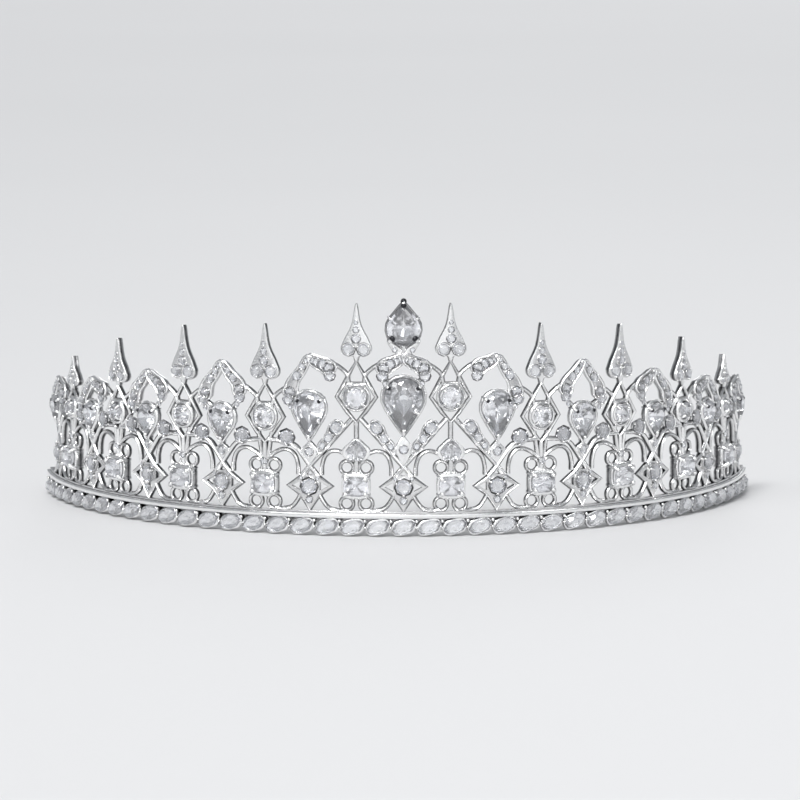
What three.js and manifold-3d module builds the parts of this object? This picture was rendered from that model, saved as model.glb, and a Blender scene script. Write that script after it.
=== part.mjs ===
// A bridal tiara: openwork castings stand side by side on a curved base band, each set with stones.
// Millimetres, +Z up. The wearer's forehead side is the front and faces -Y.
// A casting is drawn flat, x along the band and y upwards, and is then stood on the arc at its angle.
import * as THREE from "three";
import { mergeVertices } from "three/addons/utils/BufferGeometryUtils.js";
import Module from "manifold-3d";

const wasm = await Module();
wasm.setup();

// Arc
const frameRadius = 67; // plan radius of the castings' middle plane
const unitSpacing = 17.2; // along the arc, from one arch to the next
const bandTail = 3.6; // plain band past the last unit, at each end

// Clearances
const seatGap = 0.3; // between a stone and its setting, and between soldered pieces

// Metal sections
const castingThickness = 1.4;
const wireWidth = 0.7;
const fineWireWidth = 0.55;
const colletWall = 0.5;

// Base band and its row of stones
const bandTop = 4.2;
const railHeight = 0.9;
const bandFoot = 1.1; // height of the band's underside above the lowest stone settings
const bandThickness = 1;
const bandSetback = 1.4; // from the castings' middle plane in to the band's inner face
const railDepth = 2.4;
const chainSpacing = 4.7; // along the arc, from one band stone to the next
const chainSettingDepth = 1.3;
const chainSettingHeight = 2.9;
const chainSettingOverlap = 0.3; // how much neighbouring settings share, so that the row is one strip
const chainSlant = 0.35; // sideways lean of each setting from its foot to its top
const endLoopRadius = 1.9;
const endLoopHole = 1;

// Four-pointed star under each arch
const starCentre = 4.6;
const starHalfWidth = 4.2;
const starTop = 8.3;
const starWaistX = 1.8;
const starWaistRise = 1.6;
const starStoneRadius = 1.4;
const starStoneRise = 1.1;

// Square stone with four curls under each spire
const cushionWidth = 5;
const cushionHeight = 4;
const curlOffsetX = 1.75;
const curlRadius = 1.2; // to the middle of the wire
const curlSink = 0.15; // how far a curl runs into the square seat
const sweepTop = 11.2;
const stemWidth = 1;

// Stones
const crownPear = { width: 6.2, height: 8.4, tip: 38.8 };
const crownProngAngle = 47; // degrees below level, of the two lower prongs
const prongRadius = 0.35;
const galleryDepth = 0.7;
const pearDepth = 3;
const pearFront = 1.9;
const roundStoneDepth = 2.6;
const frontStoneDepth = 1.5;
const beadRadius = 1.15;
const beadFront = 1.3;

// Arches from the middle outwards: top of the arch, then top, tip and width of its pear stone
const arches = [
  { apex: 28.8, pearTop: 24.9, pearTip: 14.1, pearWidth: 7.2 },
  { apex: 28.5, pearTop: 22, pearTip: 12.7, pearWidth: 5.8 },
  { apex: 26.8, pearTop: 19.1, pearTip: 11.8, pearWidth: 5.1 },
  { apex: 23.8, pearTop: 17.8, pearTip: 11.2, pearWidth: 4.6 },
  { apex: 20.7, pearTop: 16.6, pearTip: 10.8, pearWidth: 4.1 },
  { apex: 18.9, pearTop: 15.8, pearTip: 10.5, pearWidth: 3.8 },
];
const deepSides = 2; // sides with a crescent leaf, counted outwards from the middle; the rest have a bead
const openSide = 1; // the side, counted from 0 in the same way, whose arm has no wire to its pear stone

// Spires from the middle outwards: the lozenge's top, side corners and foot, its stone, and the spike's tip
const spires = [
  { lozengeTop: 28.2, side: 21.1, foot: 16.1, stoneRadius: 2.05, spikeTip: 38.3, drop: true },
  { lozengeTop: 23.6, side: 17.1, foot: 11.9, stoneRadius: 2, spikeTip: 34.2, drop: false },
  { lozengeTop: 22.6, side: 16.4, foot: 11.8, stoneRadius: 1.9, spikeTip: 33, drop: false },
  { lozengeTop: 20.6, side: 15.4, foot: 11.7, stoneRadius: 1.7, spikeTip: 29.2, drop: false },
  { lozengeTop: 18.2, side: 14.3, foot: 11.6, stoneRadius: 1.4, spikeTip: 24.1, drop: false },
];
const endArmTop = 16.4; // where the outermost arch comes down beside no lozenge
const lozengeHalfWidth = 3.9;
const spikeGap = 0.5; // from the lozenge's point to the spike's foot
const spikeHalfWidth = 2.9;

// Materials
const metalLook = new THREE.MeshStandardMaterial({ color: 0xd5d7da, roughness: 0.22, metalness: 1 });
const stoneLook = new THREE.MeshStandardMaterial({ color: 0xf2f5fa, roughness: 0.04, metalness: 0 });

const castingFoot = bandTop + seatGap; // height of every casting's foot, from which its own heights count
const unitAngle = unitSpacing / frameRadius; // radians from one arch to the next
const neighbourX = frameRadius * Math.sin(unitAngle / 2); // from a flat casting's axis to its neighbour's
const bandHalfAngle = (arches.length - 0.5) * unitAngle + bandTail / frameRadius;
const curlRise = cushionHeight / 2 + curlRadius + fineWireWidth / 2 - curlSink; // from the seat's centre
const cushionCentre = curlRise + curlRadius + fineWireWidth / 2;
const dropFoot = cushionCentre + curlRise + curlSink + 1.2;
const sweepReach = neighbourX - starWaistX - 0.4; // half width of the big curves beside the curls

function point(x, y) {
  return new THREE.Vector2(x, y);
}

function mirroredPoints(points) {
  return points.map((p) => point(-p.x, p.y)).reverse();
}

// An outline symmetric about the y axis, from the points of its right half, bottom to top.
function symmetricOutline(rightPoints) {
  const inner = rightPoints.filter((p) => p.x > 0);
  return [...rightPoints, ...mirroredPoints(inner)];
}

// The points of a line moved to its left by a distance, with mitred corners.
function movedLeft(points, distance, closed) {
  const last = points.length - 1;
  return points.map((p, i) => {
    const before = points[i - 1] ?? (closed ? points[last] : undefined);
    const after = points[i + 1] ?? (closed ? points[0] : undefined);
    const arriving = before ? p.clone().sub(before).normalize() : undefined;
    const leaving = after ? after.clone().sub(p).normalize() : undefined;
    const next = leaving ?? arriving;
    const along = (arriving ?? leaving).clone().add(next).normalize();
    const side = point(-along.y, along.x);
    const reach = side.dot(point(-next.y, next.x));
    return p.clone().addScaledVector(side, distance / reach);
  });
}

// A wire of one width along an open line.
function wireShape(points, width) {
  const left = movedLeft(points, width / 2, false);
  const right = movedLeft(points, -width / 2, false);
  return new THREE.Shape([...left, ...right.reverse()]);
}

// The band between two offsets outwards from a closed anticlockwise outline.
function frameShape(outline, innerOffset, outerOffset) {
  const shape = new THREE.Shape(movedLeft(outline, -outerOffset, true));
  shape.holes.push(new THREE.Path(movedLeft(outline, -innerOffset, true)));
  return shape;
}

function smoothLine(points, steps) {
  return new THREE.SplineCurve(points).getPoints(steps);
}

function circlePoints(x, y, radius, sides) {
  const turn = new THREE.EllipseCurve(x, y, radius, radius, 0, 2 * Math.PI, false, Math.PI / sides);
  return turn.getPoints(sides).slice(0, sides);
}

// A plate of a flat shape, from one depth to another along the casting's outward direction.
function plate(shape, back, front) {
  const geometry = new THREE.ExtrudeGeometry(shape, { depth: front - back, bevelEnabled: false });
  return geometry.translate(0, 0, back);
}

function castingPlate(shape) {
  return plate(shape, -castingThickness / 2, castingThickness / 2);
}

// A cut stone: its outline at the girdle, with a bevelled crown in front.
function facetedStone(outline, depth, front, bevel) {
  const girdle = new THREE.Shape(movedLeft(outline, bevel, true));
  const geometry = new THREE.ExtrudeGeometry(girdle, {
    depth: depth - 2 * bevel,
    bevelThickness: bevel,
    bevelSize: bevel,
    bevelSegments: 1,
  });
  return geometry.translate(0, 0, front - depth + bevel);
}

function solidOf(geometry) {
  const bare = geometry.index ? geometry.toNonIndexed() : geometry.clone();
  bare.deleteAttribute("normal");
  bare.deleteAttribute("uv");
  const merged = mergeVertices(bare, 1e-4);
  return new wasm.Manifold(
    new wasm.Mesh({
      numProp: 3,
      vertProperties: new Float32Array(merged.attributes.position.array),
      triVerts: new Uint32Array(merged.index.array),
    }),
  );
}

function geometryOf(solid) {
  const mesh = solid.getMesh();
  const geometry = new THREE.BufferGeometry();
  geometry.setAttribute("position", new THREE.BufferAttribute(mesh.vertProperties, 3));
  geometry.setIndex(new THREE.BufferAttribute(mesh.triVerts, 1));
  return geometry;
}

// One geometry out of several that touch or overlap.
function joined(geometries) {
  return geometryOf(geometries.map(solidOf).reduce((sum, next) => sum.add(next)));
}

// A shape cut right through a casting.
function throughCut(shape) {
  return plate(shape, -2 * castingThickness, 2 * castingThickness);
}

// A cutter through a casting: a flat outline grown by the seat gap.
function cutter(outline) {
  return throughCut(new THREE.Shape(movedLeft(outline, -seatGap, true)));
}

// Several geometries joined, less every cutter.
function cutOut(geometries, cutters) {
  const metal = solidOf(joined(geometries));
  return geometryOf(cutters.map(solidOf).reduce((rest, next) => rest.subtract(next), metal));
}

// A pear outline, tip at the origin, round end up, anticlockwise.
function pearOutline(width, height, sides) {
  const radius = width / 2;
  const centre = height - radius;
  const tangent = Math.asin(radius / centre);
  const arc = new THREE.EllipseCurve(0, centre, radius, radius, -tangent, Math.PI + tangent);
  return [point(0, 0), ...arc.getPoints(sides)];
}

// A geometry reflected in its own y axis, with its faces turned outwards again.
function mirroredGeometry(geometry) {
  const mirrored = (geometry.index ? geometry.toNonIndexed() : geometry.clone()).scale(-1, 1, 1);
  const places = mirrored.attributes.position;
  const first = new THREE.Vector3();
  const second = new THREE.Vector3();
  for (let i = 0; i < places.count; i += 3) {
    first.fromBufferAttribute(places, i);
    second.fromBufferAttribute(places, i + 1);
    places.setXYZ(i, second.x, second.y, second.z);
    places.setXYZ(i + 1, first.x, first.y, first.z);
  }
  return mirrored;
}

function movedUp(points, rise) {
  return points.map((p) => point(p.x, p.y + rise));
}

// Star under an arch: its outline is open in three of its points.
function starParts() {
  const outline = symmetricOutline([
    point(0, 0),
    point(starWaistX, starCentre - starWaistRise),
    point(starHalfWidth, starCentre),
    point(starWaistX, starCentre + starWaistRise),
    point(0, starTop),
  ]);
  const star = new THREE.Shape(outline);
  const holeInner = starStoneRadius + 0.45;
  const holeOuter = starHalfWidth - 1;
  for (const side of [-1, 1]) {
    const hole = [point(side * holeOuter, starCentre), point(side * holeInner, starCentre + 0.65)];
    hole.push(point(side * holeInner, starCentre - 0.65));
    star.holes.push(new THREE.Path(hole));
  }
  const stone = plate(
    new THREE.Shape(circlePoints(0, starCentre, starStoneRadius, 6)),
    0,
    castingThickness / 2 + starStoneRise,
  );
  return [castingPlate(star), stone];
}

// The leg from the star's waist down to the band.
function starLeg() {
  const footY = wireWidth / 2;
  const waist = point(starWaistX - 0.1, starCentre - starWaistRise);
  const line = smoothLine([waist, point(2.6, 1.5), point(3.4, 0.7), point(4.6, footY)], 3);
  return castingPlate(wireShape([...line, point(4.9, footY)], wireWidth));
}

// The side of the V below a pear: a steep line with a crescent leaf, or a low line with a round bead.
function deepSide(lozengeFoot) {
  const reach = neighbourX - wireWidth - seatGap - 0.6;
  const start = point(0, starTop - 0.5);
  const end = point(reach, lozengeFoot + 0.2);
  const line = smoothLine([start, point(2.2, starTop + 2.5), point(4.6, starTop + 5.2), end], 4);
  const leaf = [
    point(1.5, starTop + 2),
    point(4.6, starTop + 5.3),
    point(6, starTop + 7),
    point(5.9, starTop + 8.1),
    point(5, starTop + 8.5),
    point(4.1, starTop + 7.8),
    point(3.1, starTop + 5.4),
    point(1.6, starTop + 3.6),
  ];
  return [wireShape(line, wireWidth), new THREE.Shape(leaf)];
}

function shallowSide(lozengeFoot) {
  const reach = neighbourX - wireWidth - seatGap - 0.4;
  const overSweep = sweepTop + wireWidth / 2 + seatGap; // lowest middle of a wire above the big curves
  const line = [
    point(0, starTop - 0.5),
    point(1.5, starTop + 2.1),
    point(2.9, overSweep + 0.1),
    point(4.3, overSweep + 0.6),
    point(reach, lozengeFoot + 1),
  ];
  const bead = circlePoints(4.3, overSweep + 1.4, beadRadius + 0.25, 6);
  return [wireShape(line, wireWidth), new THREE.Shape(bead)];
}

// One arm of an arch, from its point down to the neighbouring lozenge's shoulder.
function armParts(apex, neighbourTop, meetsLozenge) {
  const drop = apex - neighbourTop;
  const leaf = [
    point(0, apex),
    point(0, apex - 1.1),
    point(0.9, apex - 1.9 - drop / 4),
    point(2, (apex + neighbourTop) / 2 - 2.4),
    point(2.9, neighbourTop - 2.9),
    point(4.9, neighbourTop - 1.8),
    point(4.3, neighbourTop - 0.6),
    point(2.3, apex - drop / 2),
  ];
  const shapes = [new THREE.Shape(leaf)];
  if (meetsLozenge) {
    const reach = neighbourX - lozengeHalfWidth * 0.3;
    const line = smoothLine(
      [point(4.1, neighbourTop - 1), point(5.6, neighbourTop - 1.8), point(reach, neighbourTop - 3.4)],
      3,
    );
    shapes.push(wireShape(line, fineWireWidth));
  }
  return shapes;
}

function armBead(neighbourTop) {
  return circlePoints(3.9, neighbourTop - 2.6, beadRadius, 6);
}

function shoulderTrail(neighbourTop, pearTop, pearWidth) {
  const shoulder = point(pearWidth * 0.36, pearTop - pearWidth * 0.13);
  return wireShape([point(3.6, neighbourTop - 3), shoulder], 1);
}

// The flat shapes of one side of an arch, drawn on +x.
function archSide(arch, neighbour, deep, trail) {
  const top = neighbour ? neighbour.lozengeTop : endArmTop;
  const foot = neighbour ? neighbour.foot : spires[spires.length - 1].foot;
  const vee = deep ? deepSide(foot) : shallowSide(foot);
  const flat = [...vee, ...armParts(arch.apex, top, Boolean(neighbour))];
  if (trail) flat.push(shoulderTrail(top, arch.pearTop, arch.pearWidth));
  const parts = flat.map(castingPlate);
  parts.push(plate(new THREE.Shape(armBead(top)), -castingThickness / 2, beadFront));
  parts.push(starLeg());
  return parts;
}

// An arch casting whose outer side is on +x: star, V, pear collet and the two arms.
function archCasting(index) {
  const arch = arches[index];
  const innerNeighbour = spires[Math.max(index - 1, 0)];
  const outerNeighbour = spires[index];
  const outline = movedUp(pearOutline(arch.pearWidth, arch.pearTop - arch.pearTip, 7), arch.pearTip);
  const collet = castingPlate(frameShape(outline, seatGap, seatGap + colletWall));
  const kiteTop = arch.pearTip - seatGap;
  const kiteSide = point(1.7, (kiteTop + starTop) / 2 + 0.6);
  const kite = symmetricOutline([point(0, starTop - 0.6), kiteSide, point(0, kiteTop)]);
  const outerSide = 2 * index; // numbers of the two sides, from 0 outwards
  const innerSide = Math.max(outerSide - 1, 0);
  const outer = archSide(arch, outerNeighbour, outerSide < deepSides, true);
  const inner = archSide(arch, innerNeighbour, innerSide < deepSides, innerSide !== openSide);
  const metal = [...starParts(), collet, ...outer, ...inner.map(mirroredGeometry)];
  metal.push(castingPlate(new THREE.Shape(kite)));
  const cutters = [cutter(outline), ...spireCutters(innerNeighbour, -1)];
  if (outerNeighbour) cutters.push(...spireCutters(outerNeighbour, 1));
  return cutOut(metal, cutters);
}

// The big curve beside the curls, on +x, from the star's waist over to the stem.
function sweepLine() {
  return smoothLine(
    [
      point(sweepReach, starCentre + starWaistRise + seatGap + 0.4),
      point(sweepReach - 0.1, sweepTop - 2.5),
      point(sweepReach * 0.86, sweepTop - 0.7),
      point(sweepReach * 0.64, sweepTop),
      point(sweepReach * 0.38, sweepTop - 0.4),
      point(0.4, sweepTop - 1.7),
    ],
    6,
  );
}

// What an arch leaves clear for the spire beside it, which stands turned by half a unit.
function spireCutters(spire, side) {
  const sweep = throughCut(wireShape(sweepLine(), fineWireWidth + 2 * seatGap));
  const nearSweep = side > 0 ? mirroredGeometry(sweep) : sweep;
  const solids = [cutter(lozengeOutline(spire)), cutter(spikeOutline(spire)), nearSweep];
  for (const solid of solids) {
    solid.translate(0, 0, frameRadius);
    solid.rotateY((side * unitAngle) / 2);
    solid.translate(0, 0, -frameRadius);
  }
  return solids;
}

function lozengeOutline(spire) {
  return symmetricOutline([
    point(0, spire.foot),
    point(lozengeHalfWidth * 0.45, spire.foot + (spire.side - spire.foot) * 0.4),
    point(lozengeHalfWidth, spire.side),
    point(lozengeHalfWidth * 0.46, spire.side + (spire.lozengeTop - spire.side) * 0.54),
    point(0, spire.lozengeTop),
  ]);
}

// The slender spike over a lozenge, with two round lobes at its foot.
function spikeOutline(spire) {
  const foot = spire.lozengeTop + spikeGap;
  const height = spire.spikeTip - foot;
  return symmetricOutline([
    point(0, spire.lozengeTop - wireWidth),
    point(0.5, foot),
    point(spikeHalfWidth * 0.6, foot - 0.1),
    point(spikeHalfWidth, foot + height * 0.12),
    point(spikeHalfWidth * 0.8, foot + height * 0.28),
    point(spikeHalfWidth * 0.3, foot + height * 0.6),
    point(0, spire.spikeTip),
  ]);
}

function dropOutline(scale) {
  return symmetricOutline([
    point(0, dropFoot),
    point(1.5 * scale, dropFoot + 0.2),
    point(2.2 * scale, dropFoot + 1.6),
    point(1.3 * scale, dropFoot + 3),
    point(0, dropFoot + 4),
  ]);
}

// A spire casting: curls and square seat below, the stem, the lozenge with its collet, and the spike.
function spireCasting(spire) {
  const flat = [];
  const seat = [
    point(-cushionWidth / 2, cushionCentre - cushionHeight / 2),
    point(cushionWidth / 2, cushionCentre - cushionHeight / 2),
    point(cushionWidth / 2, cushionCentre + cushionHeight / 2),
    point(-cushionWidth / 2, cushionCentre + cushionHeight / 2),
  ];
  flat.push(new THREE.Shape(seat));
  for (const sideX of [-1, 1]) {
    for (const sideY of [-1, 1]) {
      const curl = circlePoints(sideX * curlOffsetX, cushionCentre + sideY * curlRise, curlRadius, 6);
      flat.push(frameShape(curl, -fineWireWidth / 2, fineWireWidth / 2));
    }
  }
  flat.push(wireShape([point(0, cushionCentre), point(0, spire.foot + 0.3)], stemWidth));
  flat.push(frameShape(lozengeOutline(spire), -wireWidth, 0));
  flat.push(new THREE.Shape(spikeOutline(spire)));
  const barY = spire.side + spire.stoneRadius + seatGap + colletWall;
  const barHalf = lozengeHalfWidth * 0.55;
  flat.push(wireShape([point(-barHalf, barY), point(barHalf, barY)], wireWidth));
  if (spire.drop) flat.push(new THREE.Shape(dropOutline(1)));
  const stoneSeat = circlePoints(0, spire.side, spire.stoneRadius / Math.cos(Math.PI / 8), 8);
  const sweep = castingPlate(wireShape(sweepLine(), fineWireWidth));
  flat.push(frameShape(stoneSeat, seatGap, seatGap + colletWall));
  return cutOut([...flat.map(castingPlate), sweep, mirroredGeometry(sweep)], [cutter(stoneSeat)]);
}

function pearStone(arch) {
  const outline = pearOutline(arch.pearWidth, arch.pearTop - arch.pearTip, 7);
  return facetedStone(movedUp(outline, arch.pearTip), pearDepth, pearFront, 0.8);
}

function lozengeStone(spire) {
  const outline = circlePoints(0, spire.side, spire.stoneRadius, 8);
  return facetedStone(outline, roundStoneDepth, pearFront, 0.7);
}

function cushionStone() {
  const halfX = cushionWidth / 2 - 0.2;
  const halfY = cushionHeight / 2 - 0.2;
  const cut = 0.7;
  const right = [
    point(halfX - cut, -halfY),
    point(halfX, -halfY + cut),
    point(halfX, halfY - cut),
    point(halfX - cut, halfY),
  ];
  const outline = movedUp([...right, ...mirroredPoints(right)], cushionCentre);
  return facetedStone(outline, frontStoneDepth, castingThickness / 2 + seatGap + frontStoneDepth, 0.5);
}

function dropStone() {
  const front = castingThickness / 2 + seatGap + frontStoneDepth;
  return facetedStone(dropOutline(0.92), frontStoneDepth, front, 0.35);
}

// The upright pear on the middle arch: the stone, and the open basket that holds it.
function crownOutline() {
  const pear = pearOutline(crownPear.width, crownPear.height, 7);
  return pear.map((p) => point(-p.x, crownPear.tip - p.y));
}

function crownStone() {
  return facetedStone(crownOutline(), pearDepth, pearFront, 0.8);
}

function crownProngPlaces() {
  const reach = crownPear.width / 2 + seatGap + prongRadius;
  const centre = crownPear.tip - crownPear.height + crownPear.width / 2;
  const across = reach * Math.cos(THREE.MathUtils.degToRad(crownProngAngle));
  const down = reach * Math.sin(THREE.MathUtils.degToRad(crownProngAngle));
  const top = point(0, crownPear.tip + seatGap + prongRadius);
  return [top, point(across, centre - down), point(-across, centre - down)];
}

function crownSetting() {
  const galleryFront = pearFront - pearDepth - seatGap;
  const galleryBack = galleryFront - galleryDepth;
  const outline = crownOutline();
  const middle = point(0, crownPear.tip - crownPear.height / 2);
  const foot = arches[0].apex + seatGap;
  const footTop = crownPear.tip - crownPear.height - seatGap;
  const footShape = new THREE.Shape([
    point(-stemWidth, foot),
    point(stemWidth, foot),
    point(2 * stemWidth, footTop),
    point(-2 * stemWidth, footTop),
  ]);
  const post = wireShape([point(0, foot), point(0, footTop + 1.2)], stemWidth);
  const parts = [
    plate(frameShape(outline, -0.9, -0.2), galleryBack, galleryFront),
    plate(footShape, galleryBack, castingThickness / 2),
    plate(post, galleryBack, galleryFront),
  ];
  for (const place of crownProngPlaces()) {
    const prong = new THREE.Shape(circlePoints(place.x, place.y, prongRadius, 6));
    const arm = wireShape([place, place.clone().lerp(middle, 0.35)], fineWireWidth);
    parts.push(plate(prong, galleryBack, pearFront - 0.8));
    parts.push(plate(arm, galleryBack, galleryFront));
  }
  return joined(parts);
}

// A strip bent round the arc, between two radii and two heights.
function arcStrip(innerRadius, outerRadius, low, high, half) {
  const middle = -Math.PI / 2;
  const shape = new THREE.Shape();
  shape.absarc(0, 0, outerRadius, middle - half, middle + half, false);
  shape.absarc(0, 0, innerRadius, middle + half, middle - half, true);
  const settings = { depth: high - low, bevelEnabled: false, curveSegments: 24 };
  const geometry = new THREE.ExtrudeGeometry(shape, settings);
  return geometry.translate(0, 0, low);
}

const bandInner = frameRadius - bandSetback;
const bandOuter = bandInner + bandThickness;

function baseBand() {
  const wall = arcStrip(bandInner, bandOuter, bandFoot, bandTop, bandHalfAngle);
  const rail = arcStrip(bandInner, bandInner + railDepth, bandTop - railHeight, bandTop, bandHalfAngle);
  return joined([wall, rail]);
}

// The row of slanted settings under the rail, joined at their sides.
function stoneChain() {
  const ring = bandOuter + seatGap + chainSettingDepth / 2;
  const step = chainSpacing / ring;
  const sideCount = Math.floor((bandHalfAngle - step / 2) / step);
  const pitch = 2 * ring * Math.tan(step / 2);
  const half = (pitch + chainSettingOverlap) / 2;
  const top = Math.min(chainSettingHeight, bandTop - railHeight - seatGap);
  const outline = [
    point(-half * 0.55 - chainSlant, 0),
    point(half * 0.55 - chainSlant, 0),
    point(half, top / 2),
    point(half * 0.55 + chainSlant, top),
    point(-half * 0.55 + chainSlant, top),
    point(-half, top / 2),
  ];
  const setting = plate(new THREE.Shape(outline), -chainSettingDepth / 2, chainSettingDepth / 2);
  setting.rotateX(Math.PI / 2);
  setting.translate(0, -ring, 0);
  const settings = [];
  for (let i = -sideCount; i <= sideCount; i += 1) {
    settings.push(setting.clone().rotateZ(i * step));
  }
  return joined(settings);
}

// The small eye at each end of the band, for a ribbon or a hair grip.
function endLoop() {
  const eye = circlePoints(0, 0, endLoopRadius, 8);
  return plate(frameShape(eye, endLoopHole - endLoopRadius, 0), -bandThickness / 2, bandThickness / 2);
}

const tiara = new THREE.Group();
const upright = new THREE.Group();
upright.rotation.x = Math.PI / 2;
tiara.add(upright);

function addFlat(name, geometry, look, angle) {
  const place = new THREE.Group();
  place.rotation.y = angle;
  const mesh = new THREE.Mesh(geometry, look);
  mesh.name = name;
  mesh.position.y = castingFoot;
  mesh.position.z = frameRadius;
  place.add(mesh);
  upright.add(place);
  return mesh;
}

function addTurned(name, geometry, look) {
  const mesh = new THREE.Mesh(geometry, look);
  mesh.name = name;
  tiara.add(mesh);
}

addTurned("base_band", baseBand(), metalLook);
addTurned("band_stone_row", stoneChain(), metalLook);

arches.forEach((arch, index) => {
  const casting = archCasting(index);
  const stone = pearStone(arch);
  if (index === 0) {
    addFlat("arch_centre", casting, metalLook, 0);
    addFlat("pear_stone_centre", stone, stoneLook, 0);
    return;
  }
  addFlat("arch_left_" + index, mirroredGeometry(casting), metalLook, -index * unitAngle);
  addFlat("pear_stone_left_" + index, stone, stoneLook, -index * unitAngle);
  addFlat("arch_right_" + index, casting, metalLook, index * unitAngle);
  addFlat("pear_stone_right_" + index, stone, stoneLook, index * unitAngle);
});

spires.forEach((spire, index) => {
  const angle = (index + 0.5) * unitAngle;
  const casting = spireCasting(spire);
  for (const [side, turn] of [["left", -angle], ["right", angle]]) {
    addFlat("spire_" + side + "_" + (index + 1), casting, metalLook, turn);
    addFlat("round_stone_" + side + "_" + (index + 1), lozengeStone(spire), stoneLook, turn);
    addFlat("square_stone_" + side + "_" + (index + 1), cushionStone(), stoneLook, turn);
    if (spire.drop) addFlat("drop_stone_" + side, dropStone(), stoneLook, turn);
  }
});

addFlat("crown_pear_stone", crownStone(), stoneLook, 0);
addFlat("crown_pear_setting", crownSetting(), metalLook, 0);

const loopAngle = bandHalfAngle + (endLoopRadius + seatGap) / frameRadius;
for (const [side, turn] of [["left", -loopAngle], ["right", loopAngle]]) {
  const loop = addFlat("end_loop_" + side, endLoop(), metalLook, turn);
  loop.position.y = (bandFoot + bandTop) / 2;
  loop.position.z = (bandInner + bandOuter) / 2;
}

// The origin is under the middle of the whole outline, at the lowest stone settings.
const box = new THREE.Box3().setFromObject(tiara);
const middle = box.getCenter(new THREE.Vector3());
tiara.position.set(-middle.x, -middle.y, -box.min.z);

export default tiara;
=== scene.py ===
# A bridal tiara: cast silver openwork, cut stones and a stone-set band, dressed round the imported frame.
# Castings are drawn flat in millimetres: x along the band, y up from the casting's foot, z outwards.
from math import asin, copysign, cos, pi, radians, sin

import bmesh
import bpy
from mathutils import Matrix, Vector


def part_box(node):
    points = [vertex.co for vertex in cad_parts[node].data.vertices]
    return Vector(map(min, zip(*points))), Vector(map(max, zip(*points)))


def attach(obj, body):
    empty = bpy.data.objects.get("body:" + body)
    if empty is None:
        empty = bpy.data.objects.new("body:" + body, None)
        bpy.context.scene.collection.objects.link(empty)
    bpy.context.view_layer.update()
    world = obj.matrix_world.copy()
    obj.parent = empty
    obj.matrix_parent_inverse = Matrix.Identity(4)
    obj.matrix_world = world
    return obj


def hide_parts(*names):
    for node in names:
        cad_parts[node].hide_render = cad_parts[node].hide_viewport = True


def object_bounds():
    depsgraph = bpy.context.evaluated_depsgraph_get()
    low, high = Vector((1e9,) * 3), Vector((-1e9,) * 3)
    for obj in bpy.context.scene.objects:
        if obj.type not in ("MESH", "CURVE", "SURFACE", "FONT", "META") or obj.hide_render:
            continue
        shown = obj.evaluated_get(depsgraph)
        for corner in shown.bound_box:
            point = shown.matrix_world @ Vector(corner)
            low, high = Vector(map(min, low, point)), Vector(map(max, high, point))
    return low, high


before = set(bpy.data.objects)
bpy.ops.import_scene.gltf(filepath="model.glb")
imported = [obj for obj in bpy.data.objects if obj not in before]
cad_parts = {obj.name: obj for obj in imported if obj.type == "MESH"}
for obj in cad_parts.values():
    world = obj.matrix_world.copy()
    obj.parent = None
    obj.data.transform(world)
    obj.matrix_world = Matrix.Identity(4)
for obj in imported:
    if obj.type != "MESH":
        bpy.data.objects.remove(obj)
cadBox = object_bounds()

mm = 0.001
arc = {"radius": 67.0, "railOuter": 68.0, "unitSpacing": 17.2}
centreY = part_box("base_band")[0].y / mm + arc["railOuter"]
unitAngle = arc["unitSpacing"] / arc["radius"]
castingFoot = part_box("arch_centre")[0].z / mm
halfUnit = arc["radius"] * sin(unitAngle / 2)  # from an arch's middle to the next spire's
print("frame loaded, arc centre at", round(centreY, 2), "mm")

# Small tools for objects and meshes


def addObject(name, data):
    item = bpy.data.objects.new(name, data)
    bpy.context.scene.collection.objects.link(item)
    return item


def meshFrom(bm, name):
    # the bmesh is used up
    mesh = bpy.data.meshes.new(name)
    bm.to_mesh(mesh)
    bm.free()
    return mesh


def pourInto(target, bm):
    mesh = meshFrom(bm, "part")
    target.from_mesh(mesh)
    bpy.data.meshes.remove(mesh)


# Camera

view = {
    "distance": 1.014,
    "elevation": radians(7.3),
    "azimuth": radians(-1.2),
    "lens": 243.0,
    "sensor": 36.0,
    "near": 0.05,
    "far": 50.0,
    "aimDrop": 0.001,
}


def makeCamera():
    data = bpy.data.cameras.new("camera")
    data.lens = view["lens"]
    data.sensor_width = view["sensor"]
    data.clip_start = view["near"]
    data.clip_end = view["far"]
    camera = addObject("camera", data)
    low, high = cadBox
    aim = (low + high) / 2 - Vector((0, 0, view["aimDrop"]))
    flat = cos(view["elevation"])
    back = Vector((sin(view["azimuth"]) * flat, -cos(view["azimuth"]) * flat, sin(view["elevation"])))
    camera.location = aim + back * view["distance"]
    camera.rotation_euler = (-back).to_track_quat("-Z", "Y").to_euler()
    bpy.context.scene.camera = camera


makeCamera()

# Floor and lights

studio = {
    "floorSize": 14.0,
    "floorSides": 64,
    "floorColours": ((0.63, 0.63, 0.635, 1), (0.66, 0.66, 0.665, 1)),
    "floorCloud": 3.0,
    "floorCloudDetail": 2,
    "floorRoughness": 0.7,
    "skyColour": (0.83, 0.86, 0.9, 1),
    "skyStrength": 0.4,
    "sunTurn": (radians(38), radians(-14), 0),
    "sunSpread": radians(18),
    "sunStrength": 2.3,
    "lamps": [
        # name, place, size, power
        ("key", (-0.6, -0.8, 0.8), 0.45, 2.6),
        ("fill", (0.8, -0.65, 0.5), 0.4, 1.4),
        ("top", (0.0, 0.05, 1.1), 0.5, 1.4),
        ("back", (0.5, 3.4, 1.6), 1.6, 14.0),
        ("front", (0.0, -2.2, 0.8), 2.4, 14.0),
    ],
}


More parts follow.
